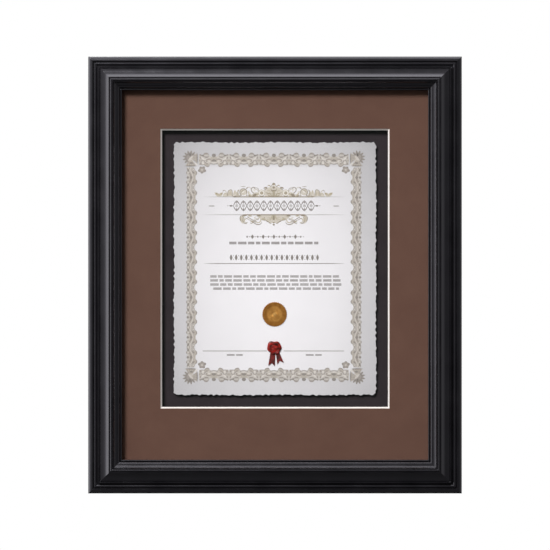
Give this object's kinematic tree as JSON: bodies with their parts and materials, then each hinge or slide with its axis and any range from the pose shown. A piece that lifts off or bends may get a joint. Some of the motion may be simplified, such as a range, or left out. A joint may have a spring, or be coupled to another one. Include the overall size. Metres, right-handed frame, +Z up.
{
  "type": "certificate frame",
  "caption": "Black stepped-moulding wall frame with bevelled brown mat, a deckle-edged certificate floated on a black board, turn-button backing and sawtooth hanger.",
  "frame": {"origin": "point of the hanger's middle notch, in the plane of the wall, where a wall nail carries the frame", "axes": "+Z up, +Y towards the wall, so the frame's face looks along -Y, and +X to the right of a viewer who faces it"},
  "size_m": [0.3746, 0.0279, 0.4381],
  "materials": {
    "lacquered_moulding": "black lacquer, satin",
    "clear_glass": "clear picture glass",
    "brown_mat_paper": "matt, fine tooth",
    "white_mat_core": "cut board",
    "foam_board": "black paper-faced foam board",
    "black_mount_board": "matt",
    "deckled_paper": "heavy laid paper, printed",
    "gold_foil": "embossed metallic foil",
    "sealing_wax": "sealing wax",
    "red_ribbon": "satin ribbon",
    "hardboard": "smooth hardboard",
    "zinc_plated_steel": "zinc plated",
    "bright_steel": "bright",
    "black_rubber": "matt"
  },
  "bodies": {
    "frame": {"rail_top": "lacquered_moulding", "rail_bottom": "lacquered_moulding", "rail_left": "lacquered_moulding", "rail_right": "lacquered_moulding", "corner_v_nails": "bright_steel", "glazing": "clear_glass", "mat_face_paper": "brown_mat_paper", "mat_core": "white_mat_core", "spacer_top": "foam_board", "spacer_bottom": "foam_board", "spacer_left": "foam_board", "spacer_right": "foam_board", "float_board": "black_mount_board", "float_riser": "foam_board", "certificate_sheet": "deckled_paper", "gold_seal": "gold_foil", "wax_seal": "sealing_wax", "ribbon_tails": "red_ribbon", "backing_board": "hardboard", "turn_button_screws": "zinc_plated_steel", "sawtooth_hanger": "bright_steel", "hanger_nails": "bright_steel", "bumper_left": "black_rubber", "bumper_right": "black_rubber"},
    "button_top_left": {"turn_button_top_left": "zinc_plated_steel"},
    "button_top_right": {"turn_button_top_right": "zinc_plated_steel"},
    "button_bottom_left": {"turn_button_bottom_left": "zinc_plated_steel"},
    "button_bottom_right": {"turn_button_bottom_right": "zinc_plated_steel"},
    "button_left_upper": {"turn_button_left_upper": "zinc_plated_steel"},
    "button_left_lower": {"turn_button_left_lower": "zinc_plated_steel"},
    "button_right_upper": {"turn_button_right_upper": "zinc_plated_steel"},
    "button_right_lower": {"turn_button_right_lower": "zinc_plated_steel"}
  },
  "joints": [
    {"name": "turn_top_left", "type": "hinge", "parent": "frame", "child": "button_top_left", "pos_m": [-0.07733, -0.00235, -0.0032], "axis": [0, 1, 0], "continuous": true},
    {"name": "turn_top_right", "type": "hinge", "parent": "frame", "child": "button_top_right", "pos_m": [0.07733, -0.00235, -0.0032], "axis": [0, 1, 0], "continuous": true},
    {"name": "turn_bottom_left", "type": "hinge", "parent": "frame", "child": "button_bottom_left", "pos_m": [-0.07733, -0.00235, -0.40115], "axis": [0, 1, 0], "continuous": true},
    {"name": "turn_bottom_right", "type": "hinge", "parent": "frame", "child": "button_bottom_right", "pos_m": [0.07733, -0.00235, -0.40115], "axis": [0, 1, 0], "continuous": true},
    {"name": "turn_left_upper", "type": "hinge", "parent": "frame", "child": "button_left_upper", "pos_m": [-0.16723, -0.00235, -0.0931], "axis": [0, 1, 0], "continuous": true},
    {"name": "turn_left_lower", "type": "hinge", "parent": "frame", "child": "button_left_lower", "pos_m": [-0.16723, -0.00235, -0.31125], "axis": [0, 1, 0], "continuous": true},
    {"name": "turn_right_upper", "type": "hinge", "parent": "frame", "child": "button_right_upper", "pos_m": [0.16723, -0.00235, -0.0931], "axis": [0, 1, 0], "continuous": true},
    {"name": "turn_right_lower", "type": "hinge", "parent": "frame", "child": "button_right_lower", "pos_m": [0.16723, -0.00235, -0.31125], "axis": [0, 1, 0], "continuous": true}
  ]
}
